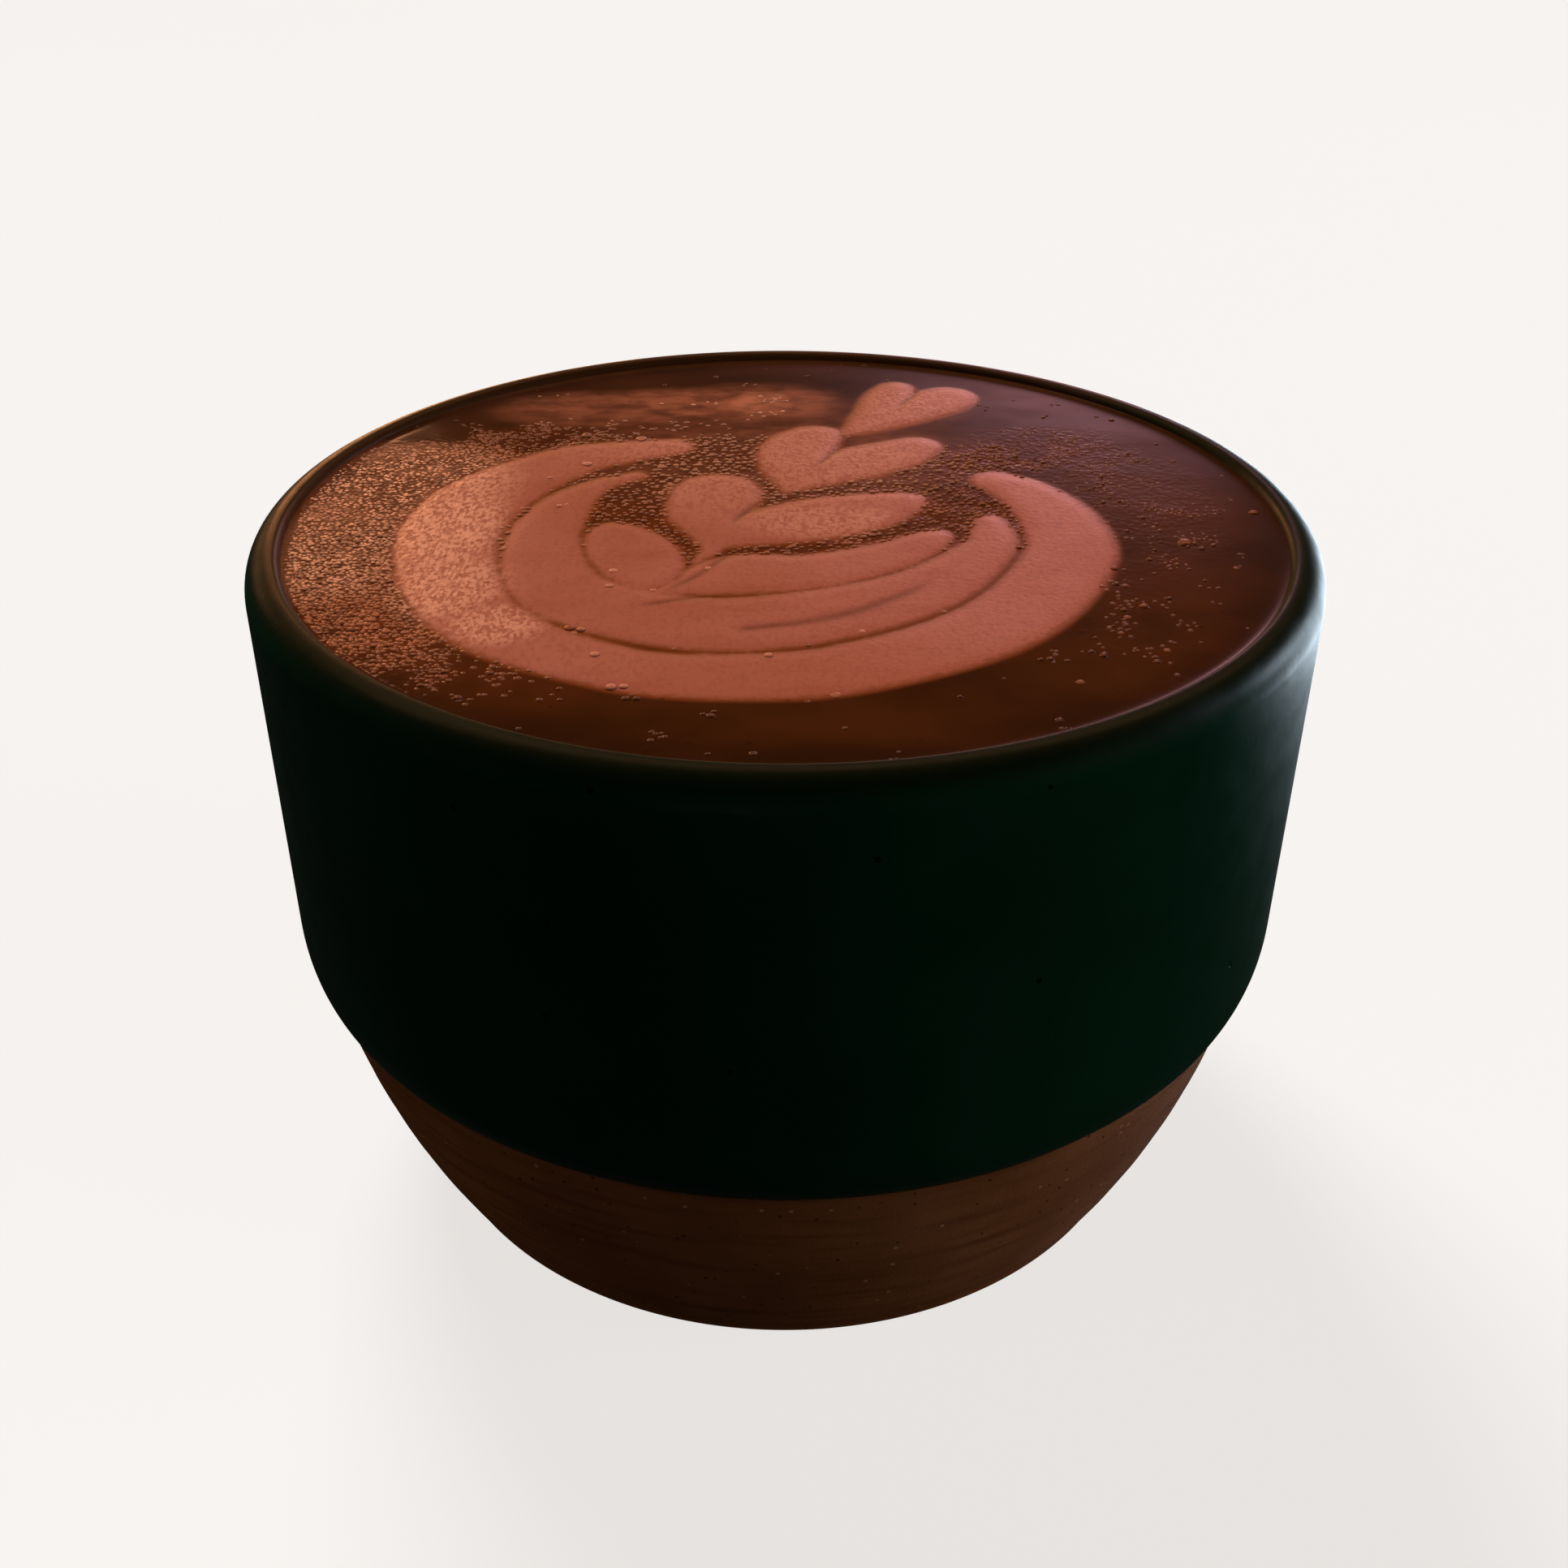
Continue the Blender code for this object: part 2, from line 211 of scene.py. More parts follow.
# Single bubbles that stand out: x, y and radius in millimetres
LONE_BUBBLES = [
    (33.2, -4.8, 0.72), (40.2, 1.6, 0.48), (-18.0, 12.3, 0.55), (-19.5, 2.5, 0.36),
    (-18.9, 2.9, 0.28), (-21.0, 9.0, 0.33), (-25.7, 9.0, 0.30), (-16.6, -5.6, 0.36),
    (-13.8, -10.8, 0.42), (-13.9, -13.7, 0.42), (-10.4, -14.4, 0.32), (-6.2, -10.2, 0.33),
    (-23.1, -6.2, 0.36), (-24.0, -2.1, 0.32), (-22.6, 2.2, 0.30), (-18.7, 19.6, 0.55),
    (-13.5, 19.0, 0.58), (-23.7, -12.9, 0.33), (-16.3, -21.1, 0.50), (-15.4, -21.4, 0.44),
    (-15.9, -21.9, 0.34), (-14.0, -25.6, 0.46), (-1.2, -25.6, 0.44), (3.6, -31.7, 0.52),
    (-12.4, -30.6, 0.50), (-11.5, -30.5, 0.42), (12.2, -18.1, 0.38), (-8.2, -24.5, 0.28),
    (5.8, -21.5, 0.36), (25.3, -21.6, 0.36), (26.2, -18.9, 0.38), (27.8, -17.0, 0.44),
    (26.9, -13.3, 0.38), (25.3, -14.1, 0.34), (36.4, -9.8, 0.34), (28.3, -24.5, 0.36),
    (21.2, -29.6, 0.42), (-32.7, -21.5, 0.44), (-29.6, -24.0, 0.36),
]

LONE_FROTH = 0.55                # how light the crown of a single bubble is, 0 to 1
LONE_SINK = 0.1                  # millimetres that a single bubble sits in the drink
SMALL_SINK = 0.02                # the same for the scattered ones
WALL_GAP = 0.3                   # millimetres that bubbles keep off the wall
JITTER = 0.38                    # how far a place strays from its grid, in spacings
GATHERED = (0.1, 0.9)            # densities between which places fill up with bubbles
UNEVEN_WIDTH = (0.88, 1.1)       # shares by which one dome differs from the next
UNEVEN_HEIGHT = (0.8, 1.2)

# Bubbles that are scattered: where they gather, then the spacing of their places and their
# smallest and largest radius in millimetres, and how many radii they keep off the milk. A dome
# is what a ball of radius 1 has above the height cut, made flatter.
SCATTERED_BUBBLES = (
    dict(name="bubbles_fine", places=FROTH, seed=5, spacing=0.47, small=0.20, large=0.32,
         clear=0.75, dome=dict(segments=8, rings=16, cut=0.78, flatter=0.85)),
    dict(name="bubbles_middling", places=BUBBLY, seed=9, spacing=0.70, small=0.22, large=0.38,
         clear=0.25, dome=dict(segments=10, rings=14, cut=0.50, flatter=0.75)),
)
LONE_DOME = dict(segments=20, rings=14, cut=0.0, flatter=0.55)

# --------------------------------------------------------------------------- camera and light
VIEW_ELEVATION = math.radians(31.98)
VIEW_DISTANCE = 175.5 * MM       # from the middle of the cup
VIEW_ROLL = math.radians(0.145)
LENS = 43.04                     # millimetres, for a picture 36 mm wide
SHIFT_X = -0.00045               # shifts in picture widths
SHIFT_Y = 0.0223
NEAREST_SEEN = 10 * MM

FLOOR_SIZE = 8.0                 # metres
FLOOR_DROP = 0.05 * MM           # the floor lies this far under the foot
FLOOR_GLOW = 0.83

ROOM_COLOUR = (0.02, 0.019, 0.018, 1.0)
GLOW_FROM = (10, 12)             # azimuth from +Y towards +X and elevation, degrees
GLOW_FOCUS = 200                 # the higher, the smaller the glow
GLOW_COLOUR = (6.0, 2.8, 3.4, 1.0)

BODY = "root"


# ----------------------------------------------------------------------------- small helpers
def deselect_all():
    if bpy.context.object and bpy.context.object.mode != "OBJECT":
        bpy.ops.object.mode_set(mode="OBJECT")
    bpy.ops.object.select_all(action="DESELECT")


def tint(red, green, blue):
    """A colour given as it looks on a screen, 0 to 255, made linear."""
    channels = []
    for value in (red, green, blue):
        share = value / 255
        channels.append(share / 12.92 if share <= 0.04045 else ((share + 0.055) / 1.055) ** 2.4)
    return (*channels, 1.0)


def ramp(values, low, high):
    """0 below low, 1 above high and smooth between, for arrays."""
    share = np.clip((values - low) / (high - low), 0.0, 1.0)
    return share * share * (3 - 2 * share)


def places_of(piece):
    flat = np.empty(len(piece.data.vertices) * 3)
    piece.data.vertices.foreach_get("co", flat)
    return flat.reshape(-1, 3)


def move_places(piece, places):
    piece.data.vertices.foreach_set("co", places.ravel())
    piece.data.update()


def paint(piece, name, values):
    """Keep one number for each point of a piece, for its finish to read."""
    layer = piece.data.attributes.new(name, "FLOAT", "POINT")
    layer.data.foreach_set("value", np.asarray(values, np.float32))


# ----------------------------------------------------------------------------- profile curves
def arc(centre, radii, start, end, count):
    """Points of an ellipse in the profile plane, as (radius, height)."""
    angles = np.radians(np.linspace(start, end, count + 1))
    return [(centre[0] + radii[0] * math.cos(a), centre[1] + radii[1] * math.sin(a)) for a in angles]


def lean(first, pull, last, count):
    """Points from first to last that lean towards pull."""
    run = []
    for t in np.linspace(0, 1, count + 1):
        run.append(tuple((1 - t) ** 2 * a + 2 * t * (1 - t) * b + t * t * c
                         for a, b, c in zip(first, pull, last)))
    return run


def foot_side(count):
    """The raw foot from the table edge up to the glaze, bowed outwards."""
    low = (FOOT_RADIUS, FOOT_EDGE_ROUND)
    high = (GLAZE_END[0] - GLAZE_THICKNESS, GLAZE_END[1])
    across = Vector((high[1] - low[1], low[0] - high[0])).normalized()
    run = []
    for t in np.linspace(0, 1, count + 1):
        swell = 4 * FOOT_BOW * t * (1 - t)
        run.append((low[0] + (high[0] - low[0]) * t + across.x * swell,
                    low[1] + (high[1] - low[1]) * t + across.y * swell))
    return run


def glazed_side(inset):
    """The glazed outside from its lower edge up and over the rim to the lip, moved in by inset."""
    rim_centre = (CREST_RADIUS, CUP_HEIGHT - RIM_ROUND_DOWN)
    slope = (CUP_RADIUS - SHOULDER[0]) / (rim_centre[1] - SHOULDER[1])
    pull = (SHOULDER[0] - SHOULDER_PULL * slope - inset, SHOULDER[1] - SHOULDER_PULL)
    run = lean((GLAZE_END[0] - inset, GLAZE_END[1]), pull, (SHOULDER[0] - inset, SHOULDER[1]), 12)
    run += [(SHOULDER[0] - inset + t * slope, SHOULDER[1] + t)
            for t in np.linspace(0, rim_centre[1] - SHOULDER[1], 12)[1:-1]]
    run += arc(rim_centre, (RIM_ROUND_OUT - inset, RIM_ROUND_DOWN - inset), 0, 90, 16)
    lip_centre = (CREST_RADIUS, CUP_HEIGHT - LIP_ROUND_DOWN)
    run += arc(lip_centre, (LIP_ROUND_IN - inset, LIP_ROUND_DOWN - inset), 90, 180, 12)[1:]
    return run


def cavity_side(inset, count):
    """The cup's inside from under the lip down to its floor, moved in by inset."""
    floor = FLOOR_HEIGHT + inset
    pull = (FLOOR_PULL_RADIUS - inset, floor)
    return lean((INNER_TURN[0] - inset, INNER_TURN[1]), pull, (FLOOR_FLAT_RADIUS, floor), count)


# -------------------------------------------------------------------------- turning the clay
def draw_up(profile):
    """Extrude the selected ring through a profile of (radius, height) stations."""
    for (radius, height), (wider, higher) in zip(profile, profile[1:]):
        bpy.ops.mesh.extrude_region_move(TRANSFORM_OT_translate={"value": (0, 0, higher - height)})
        scale = wider / radius
        bpy.ops.transform.resize(value=(scale, scale, 1), center_override=(0, 0, higher))


def turned_piece(name, profile, fill="NGON"):
    """A round piece drawn up from a flat ring, as on a potter's wheel."""
    deselect_all()
    radius, height = profile[0]
    bpy.ops.mesh.primitive_circle_add(vertices=WHEEL_STEPS, radius=radius, fill_type=fill,
                                      location=(0, 0, height))
    piece = bpy.context.object
    piece.name = name
    bpy.ops.object.transform_apply(location=True, rotation=True, scale=True)
    bpy.ops.object.mode_set(mode="EDIT")
    bpy.ops.mesh.select_all(action="SELECT")
    draw_up(profile)
    if fill == "NOTHING":
        bpy.ops.mesh.select_all(action="DESELECT")
        bpy.ops.mesh.select_mode(type="EDGE")
        bpy.ops.mesh.select_non_manifold()
        bpy.ops.mesh.bridge_edge_loops()
    bpy.ops.mesh.select_all(action="SELECT")
    bpy.ops.mesh.normals_make_consistent(inside=False)
    bpy.ops.object.mode_set(mode="OBJECT")
    bpy.ops.object.shade_smooth_by_angle(angle=math.radians(40))
    return piece


def make_clay_body():
    """The whole cup in raw clay; only its foot and underside show below the glaze."""
    ring_inner = FOOT_RADIUS - FOOT_RING_WIDTH
    profile = [(ring_inner - RECESS_DEPTH, RECESS_DEPTH)]
    profile += lean((ring_inner - 0.3 * RECESS_DEPTH, 0.3 * RECESS_DEPTH), (ring_inner, 0.0),
                    (ring_inner + RING_ROUND, 0.0), 4)
    edge_centre = (FOOT_RADIUS - FOOT_EDGE_ROUND, FOOT_EDGE_ROUND)
    profile += arc(edge_centre, (FOOT_EDGE_ROUND, FOOT_EDGE_ROUND), -90, 0, 6)
    profile += foot_side(28)[1:]
    profile += glazed_side(GLAZE_THICKNESS)[1:]
    profile += cavity_side(0.0, 12)
    body = turned_piece("cup_clay_body", profile)
    throw_marks(body)
    return body


def throw_marks(body):
    """Slight unevenness that the wheel and the sponge leave on the raw foot."""
    places = places_of(body)
    heights = places[:, 2]
    on_foot = ramp(heights, *THROW_MARKS_FROM) * (1 - ramp(heights, *THROW_MARKS_TO))
    angles = np.arctan2(places[:, 1], places[:, 0])
    swell = np.sin(heights / FINE_THROW_RINGS * 2 * np.pi + 1.5 * np.sin(angles)) * 0.5
    swell += np.sin(heights / BROAD_THROW_RINGS * 2 * np.pi + 2.0 * np.cos(angles))
    inner = np.hypot(places[:, 0], places[:, 1]) < 0.9 * np.interp(
        heights, (0, GLAZE_END[1]), (FOOT_RADIUS, GLAZE_END[0]))
    shift = np.where(inner, 0.0, (swell - 1.6) * THROW_MARK_DEPTH * on_foot)
    reach = np.hypot(places[:, 0], places[:, 1]) + 1e-9
    places[:, :2] *= (1 + shift / reach)[:, None]
    move_places(body, places)


def make_glaze_coat():
    """The coat of glaze over wall, rim and lip, with a rounded lower edge."""
    end_radius, end_height = GLAZE_END
    roll_centre = (end_radius - GLAZE_ROLL[0], end_height + GLAZE_ROLL_LIFT)
    roll = arc(roll_centre, GLAZE_ROLL, -120, 0, 5)
    shown = roll + glazed_side(0.0)[1:]
    shown.append((CREST_RADIUS - LIP_ROUND_IN, COAT_INNER_END))
    hidden = [(CREST_RADIUS - LIP_ROUND_IN + COAT_DEPTH, COAT_INNER_END)]
    hidden += [(SHOULDER[0] - COAT_DEPTH, SHOULDER[1]), (end_radius - COAT_DEPTH, end_height + COAT_DEPTH)]
    coat = turned_piece("cup_glaze_coat", shown + hidden, fill="NOTHING")
    places = places_of(coat)
    angles = np.arctan2(places[:, 1], places[:, 0])
    waver = sum(strength * np.sin(count * angles + turn) for strength, count, turn in GLAZE_WAVES)
    near_edge = 1 - ramp(places[:, 2], end_height, end_height + GLAZE_WAVER_REACH)
    places[:, 2] += waver * GLAZE_WAVER * near_edge
    move_places(coat, places)
    return coat


# -------------------------------------------------------------------------- pouring the drink
def smooth_run(stations, spacing):
    """A curve through the stations, each a place and a half width."""
    knots = [Vector(station) for station in stations]
    leads = [(b - a).normalized() for a, b in zip([knots[0]] + knots[:-1], knots[1:] + [knots[-1]])]
    run = [knots[0]]
    for start, end, lead_out, lead_in in zip(knots, knots[1:], leads, leads[1:]):
        reach = (end - start).length / 3
        count = max(2, round(3 * reach / spacing)) + 1
        run += interpolate_bezier(start, start + lead_out * reach, end - lead_in * reach, end, count)[1:]
    return run


def depth_in_stroke(x, y, stations):
    """How far inside a poured stroke each place lies, in millimetres, negative outside it."""
    depth = np.full(len(x), -1000.0)
    for centre_x, centre_y, half_width in smooth_run(stations, STROKE_SPACING):
        depth = np.maximum(depth, half_width - np.hypot(x - centre_x, y - centre_y))
    return depth


def foam_shape(x, y):
    """Depth inside the whole milk figure, and its height over the drink, in millimetres."""
    depth = np.full(len(x), -1000.0)
    height = np.zeros(len(x))
    for rise, stations in MILK_FIGURE.values():
        inside = depth_in_stroke(x, y, stations)
        height = np.maximum(height, rise * FOAM_RELIEF * ramp(inside, *FOAM_EDGE))
        depth = np.maximum(depth, inside)
    return depth, height


def fold_shape(x, y):
    """Strength of the faint folds, 0 to 1, and their depth in millimetres."""
    strength = np.zeros(len(x))
    drop = np.zeros(len(x))
    for deep, half_width, points in FOLDS:
        run = smooth_run([(*point, 0.0) for point in points], STROKE_SPACING)
        for index, (centre_x, centre_y, _) in enumerate(run):
            fade = min(1.0, 4.0 * (len(run) - 1 - index) / len(run))
            near = np.exp(-((x - centre_x) ** 2 + (y - centre_y) ** 2) / half_width ** 2) * fade
            strength = np.maximum(strength, near)
            drop = np.maximum(drop, near * deep)
    return strength, drop


def patches(x, y, places):
    """Strength of soft oval patches at each place, 0 to 1."""
    share = np.zeros(len(x))
    for centre_x, centre_y, reach_x, reach_y, strength in places:
        away = ((x - centre_x) / reach_x) ** 2 + ((y - centre_y) / reach_y) ** 2
        share = np.maximum(share, strength * (1 - ramp(away, *PATCH_FADE)))
    return share


def rough_field(x, y, size, seed):
    """Smooth unevenness, about -1 to 1, with swells of the given size in millimetres."""
    return np.array([noise.noise((a / size, b / size, seed)) for a, b in zip(x, y)]) * 2


def lip_radius(height):
    """The cup's inner radius at a height within the lip's rounding."""
    rise = (height - (CUP_HEIGHT - LIP_ROUND_DOWN)) / LIP_ROUND_DOWN
    return CREST_RADIUS - LIP_ROUND_IN * math.sqrt(1 - rise * rise)


def surface_height(x, y):
    """Height of the drink's surface over its level in millimetres, and what its finish reads."""
    depth, foam = foam_shape(x, y)
    folds, drop = fold_shape(x, y)
    froth = np.maximum(patches(x, y, FROTH), patches(x, y, BUBBLY) * 0.8)
    froth = np.clip(froth * (1 + rough_field(x, y, *CLUMPS) * 0.35), 0.0, 1.0)
    swell = rough_field(x, y, *LONG_SWELLS) * LONG_SWELL_HEIGHT
    swell += rough_field(x, y, *SHORT_SWELLS) * SHORT_SWELL_HEIGHT
    crema = rough_field(x, y, *CREMA_LUMPS) * CREMA_LUMP_HEIGHT * froth ** 2
    height = foam - drop + swell + crema * (1 - ramp(depth, -0.3, 0.3))
    return height, depth, folds, froth


def make_drink():
    """The drink: a fine disc shaped as crema and milk foam, over a plain body down to the floor."""
    top_radius = lip_radius(DRINK_LEVEL + CLING) + INTO_WALL
    deselect_all()
    bpy.ops.mesh.primitive_grid_add(x_subdivisions=SURFACE_CELLS, y_subdivisions=SURFACE_CELLS,
                                    size=2.0, location=(0, 0, 0))
    drink = bpy.context.object
    drink.name = "mocha_drink"
    places = places_of(drink)
    across, along = places[:, 0].copy(), places[:, 1].copy()
    places[:, 0] = across * np.sqrt(1 - along ** 2 / 2) * top_radius
    places[:, 1] = along * np.sqrt(1 - across ** 2 / 2) * top_radius
    x, y = places[:, 0] / MM, places[:, 1] / MM
    height, depth, folds, froth = surface_height(x, y)
    to_wall = top_radius / MM - np.hypot(x, y)
    cling = CLING / MM * np.exp(-to_wall / (CLING_WIDTH / MM))
    calm = ramp(to_wall, 0.0, CALM_EDGE)
    places[:, 2] = DRINK_LEVEL + (height * calm + cling) * MM
    move_places(drink, places)
    paint(drink, "foam", depth)
    paint(drink, "fold", folds)
    paint(drink, "froth", froth)
    paint(drink, "painted_sheen", patches(x, y, PAINTED_SHEEN))
    bpy.ops.object.mode_set(mode="EDIT")
    bpy.ops.mesh.select_all(action="DESELECT")
    bpy.ops.mesh.select_mode(type="EDGE")
    bpy.ops.mesh.select_non_manifold()
    wall = [(top_radius, DRINK_LEVEL + CLING), (CREST_RADIUS - LIP_ROUND_IN + INTO_WALL, BELOW_LIP)]
    wall += cavity_side(-INTO_WALL, 7)
    draw_up(wall)
    bpy.ops.mesh.edge_face_add()
    bpy.ops.mesh.select_all(action="SELECT")
    bpy.ops.mesh.normals_make_consistent(inside=False)
    bpy.ops.object.mode_set(mode="OBJECT")
    bpy.ops.object.shade_smooth_by_angle(angle=math.radians(50))
    return drink


# ------------------------------------------------------------------------------- the bubbles
def bubble_pattern(segments, rings, cut):
    """One small dome of radius 1, what a ball has above the height cut: points and faces."""
    deselect_all()
    bpy.ops.mesh.primitive_uv_sphere_add(segments=segments, ring_count=rings, radius=1.0,
                                         location=(0, 0, 0))
    dome = bpy.context.object
    bpy.ops.object.mode_set(mode="EDIT")
    bpy.ops.mesh.select_all(action="SELECT")
    bpy.ops.mesh.bisect(plane_co=(0, 0, cut), plane_no=(0, 0, 1), clear_inner=True, use_fill=True)
    bpy.ops.mesh.select_all(action="SELECT")
    bpy.ops.transform.translate(value=(0, 0, -cut))
    wider = 1 / math.sqrt(1 - cut * cut)
    bpy.ops.transform.resize(value=(wider, wider, wider), center_override=(0, 0, 0))
    bpy.ops.object.mode_set(mode="OBJECT")
    places = places_of(dome)
    faces = [tuple(face.vertices) for face in dome.data.polygons]
    bpy.data.objects.remove(dome)
    return places, faces


def joined_bubbles(name, spots, segments, rings, cut, flatter):
    """Copies of one dome, each with its own size and turn, joined; a spot is x, y, base and
    radius in millimetres, then the foam depth, the froth and the painted sheen there."""
    pattern, faces = bubble_pattern(segments, rings, cut)
    dice = random.Random(len(spots))
    points = []
    sides = []
    for x, y, base, radius, *_ in spots:
        turn = Matrix.Rotation(dice.uniform(0, math.tau), 3, "Z")
        width = radius * dice.uniform(*UNEVEN_WIDTH)
        height = radius * flatter * dice.uniform(*UNEVEN_HEIGHT)
        shaped = (pattern * np.array([radius, width, height])) @ np.array(turn).T + np.array([x, y, base])
        offset = len(points) * len(pattern)
        points.append(shaped)
        sides += [tuple(corner + offset for corner in face) for face in faces]
    mesh = bpy.data.meshes.new(name)
    mesh.from_pydata((np.concatenate(points) * MM).tolist(), [], sides)
    piece = bpy.data.objects.new(name, mesh)
    bpy.context.scene.collection.objects.link(piece)
    mesh.shade_smooth()
    for place, kind in enumerate(("foam", "froth", "painted_sheen")):
        paint(piece, kind, np.repeat([spot[4 + place] for spot in spots], len(pattern)))
    paint(piece, "top", np.tile(pattern[:, 2] / pattern[:, 2].max(), len(spots)))
    return piece


def scatter(spacing, seed):
    """Places on a jittered grid over the drink, in millimetres."""
    dice = np.random.default_rng(seed)
    reach = lip_radius(DRINK_LEVEL) / MM - WALL_GAP
    steps = int(2 * reach / spacing)
    column, row = np.meshgrid(np.arange(steps), np.arange(steps))
    x = -reach + (column + 0.5 * (row % 2) + dice.uniform(-JITTER, JITTER, column.shape)) * spacing
    y = -reach + (row + dice.uniform(-JITTER, JITTER, row.shape)) * spacing
    x, y = x.ravel(), y.ravel()
    inside = np.hypot(x, y) < reach
    return x[inside], y[inside], dice


def make_bubbles():
    """Fine froth, middling bubbles and single large ones, each kind a piece of its own."""
    pieces = []
    for kind in SCATTERED_BUBBLES:
        x, y, dice = scatter(kind["spacing"], kind["seed"])
        height, depth, _, froth = surface_height(x, y)
        radius = kind["small"] + (kind["large"] - kind["small"]) * dice.random(len(x)) ** 2
        density = patches(x, y, kind["places"]) + rough_field(x, y, *CLUMPS) * 0.25
        gathered = dice.random(len(x)) < ramp(density, *GATHERED)
        off_milk = depth < -kind["clear"] * radius
        keep = np.flatnonzero(gathered & off_milk)
        base = DRINK_LEVEL / MM + height - SMALL_SINK
        columns = (x, y, base, radius, depth, froth, patches(x, y, PAINTED_SHEEN))
        spots = list(zip(*(column[keep] for column in columns)))
        pieces.append(joined_bubbles(kind["name"], spots, **kind["dome"]))
    x, y, radius = (np.array(column) for column in zip(*LONE_BUBBLES))
    height, depth, _, _ = surface_height(x, y)
    base = DRINK_LEVEL / MM + height - LONE_SINK
    froth = np.full(len(x), LONE_FROTH)
    spots = list(zip(x, y, base, radius, depth, froth, patches(x, y, PAINTED_SHEEN)))
    pieces.append(joined_bubbles("bubbles_lone", spots, **LONE_DOME))
    return pieces


# ------------------------------------------------------------------------------ the finishes
class Finish:
    """A procedural finish under construction, read on Object coordinates."""

    def __init__(self, name):
        self.material = bpy.data.materials.new(name)
        self.material.use_nodes = True
        self.tree = self.material.node_tree
        self.shader = self.tree.nodes["Principled BSDF"]
        self.place = self.node("TexCoord").outputs["Object"]

    def node(self, kind, inputs=None, **settings):
        """Add a node, with a value or another node's output for each input."""
        item = self.tree.nodes.new("ShaderNode" + kind)
        for key, value in settings.items():
            setattr(item, key, value)
        for key, value in (inputs or {}).items():
            if isinstance(value, bpy.types.NodeSocket):
                self.tree.links.new(value, item.inputs[key])
            else:
                item.inputs[key].default_value = value
        return item

    def noise(self, size, detail=3.0, stretch=(1, 1, 1)):
        """Cloudy unevenness, 0 to 1, with swells of the given size in metres."""
        mapping = self.node("Mapping", {"Vector": self.place, "Scale": [s / size for s in stretch]})
        texture = self.node("TexNoise", {"Vector": mapping.outputs[0], "Scale": 1.0, "Detail": detail})
        return texture.outputs[0]

    def cells(self, size, feature="F1"):
        """Distance from the middle of a cell of the given size in metres."""
        mapping = self.node("Mapping", {"Vector": self.place, "Scale": [1 / size] * 3})
        texture = self.node("TexVoronoi", {"Vector": mapping.outputs[0], "Scale": 1.0}, feature=feature)
        return texture.outputs["Distance"]

    def painted(self, name):
        """A number that paint() kept on the piece."""
        return self.node("Attribute", attribute_name=name).outputs["Fac"]

    def along(self, axis):
        """Place along X, Y or Z."""
        return self.node("SeparateXYZ", {"Vector": self.place}).outputs[axis]

    def reach(self):
        """Distance from the cup's axis."""
        flat = self.node("Mapping", {"Vector": self.place, "Scale": (1, 1, 0)})
        return self.node("VectorMath", {0: flat.outputs[0]}, operation="LENGTH").outputs["Value"]

    def ramp(self, value, low, high, first=0.0, last=1.0):
        """From first, at low, smoothly to last, at high."""
        return self.node("MapRange", {"Value": value, "From Min": low, "From Max": high,
                                      "To Min": first, "To Max": last},
                         interpolation_type="SMOOTHSTEP").outputs[0]

    def plus(self, first, second):
        return self.node("Math", {0: first, 1: second}, operation="ADD").outputs[0]

    def minus(self, first, second):
        return self.node("Math", {0: first, 1: second}, operation="SUBTRACT").outputs[0]

    def times(self, first, second):
        return self.node("Math", {0: first, 1: second}, operation="MULTIPLY").outputs[0]

    def blend(self, share, first, second):
        """Colours from first, at share 0, to second, at share 1."""
        return self.node("Mix", {0: share, 6: first, 7: second}, data_type="RGBA").outputs[2]

    def bump(self, height, depth, under=None):
        """Relief of the given depth in metres, laid over another one."""
        inputs = {"Height": height, "Distance": depth, "Strength": 1.0}
        if under:
            inputs["Normal"] = under
        return self.node("Bump", inputs).outputs[0]

    def set(self, **sockets):
        """Give the shader its values; a socket's name has _ for each space."""
        for name, value in sockets.items():
            socket = self.shader.inputs[name.replace("_", " ")]
            if isinstance(value, bpy.types.NodeSocket):
                self.tree.links.new(value, socket)
            else:
                socket.default_value = value
        return self.material


def satin_green_glaze():
    glaze = Finish("satin_green_glaze")
    clouds = glaze.noise(16 * MM, 4.0)
    colour = glaze.blend(glaze.ramp(clouds, 0.3, 0.7), tint(3, 37, 22), tint(6, 43, 28))
    specks = glaze.ramp(glaze.cells(5.5 * MM), 0.035, 0.055)
    colour = glaze.blend(specks, tint(0, 6, 3), colour)
    wear_and_sheen = glaze.ramp(glaze.along("Z"), CUP_HEIGHT - 2.2 * MM, CUP_HEIGHT - 0.2 * MM)
    colour = glaze.blend(glaze.times(wear_and_sheen, 0.9), colour, tint(17, 17, 4))
    # painted highlight: towards the back the crest is painted lighter brown, in place of a gleam on the
    # rim
    back_sheen = glaze.ramp(glaze.along("Y"), 22 * MM, 38 * MM, 0.0, 0.8)
    colour = glaze.blend(glaze.times(wear_and_sheen, back_sheen), colour, tint(58, 35, 24))
    # a coffee film on the inner lip, and a painted sheen: the film is painted strongest and lightest at
    # the back and left, where the lip lies in shade
    wet_film_and_sheen = glaze.ramp(glaze.reach(), CREST_RADIUS - 0.8 * MM, CREST_RADIUS + 0.3 * MM, 0.7, 0.0)
    back_left = glaze.minus(glaze.along("Y"), glaze.along("X"))
    wet_film_and_sheen = glaze.times(wet_film_and_sheen, glaze.ramp(back_left, 8 * MM, 42 * MM, 0.08, 1.0))
    colour = glaze.blend(wet_film_and_sheen, colour, tint(84, 46, 18))
    grain = glaze.bump(glaze.noise(0.55 * MM, 3.0), 0.012 * MM)
    soft = glaze.bump(glaze.noise(5 * MM, 2.0), 0.05 * MM, grain)
    pinholes = glaze.bump(specks, 0.05 * MM, soft)
    rough = glaze.ramp(glaze.noise(3 * MM, 3.0), 0.2, 0.8, 0.30, 0.40)
    return glaze.set(Base_Color=colour, Roughness=rough, Normal=pinholes, Specular_IOR_Level=0.05)


